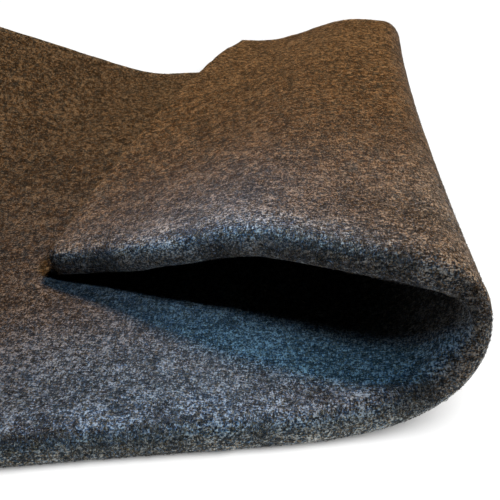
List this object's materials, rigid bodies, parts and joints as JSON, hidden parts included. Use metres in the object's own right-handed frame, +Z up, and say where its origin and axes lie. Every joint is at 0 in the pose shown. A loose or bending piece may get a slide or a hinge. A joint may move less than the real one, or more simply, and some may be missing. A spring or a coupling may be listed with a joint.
{
  "type": "folded length of pool liner felt padding",
  "caption": "Thick soft felt padding folded over into a loose open loop, its flap resting on the lower layer, with one far corner curling up.",
  "frame": {"origin": "middle of the outline's underside, on the surface the cloth lies on", "axes": "+X from the cut end of the lower layer towards the fold, +Y from the near edge to the far edge, +Z up"},
  "size_m": [0.2158, 0.32, 0.0363],
  "materials": {
    "felt": "matt heathered grey-brown felt"
  },
  "bodies": {
    "root": {"felt_padding": "felt"}
  },
  "joints": []
}
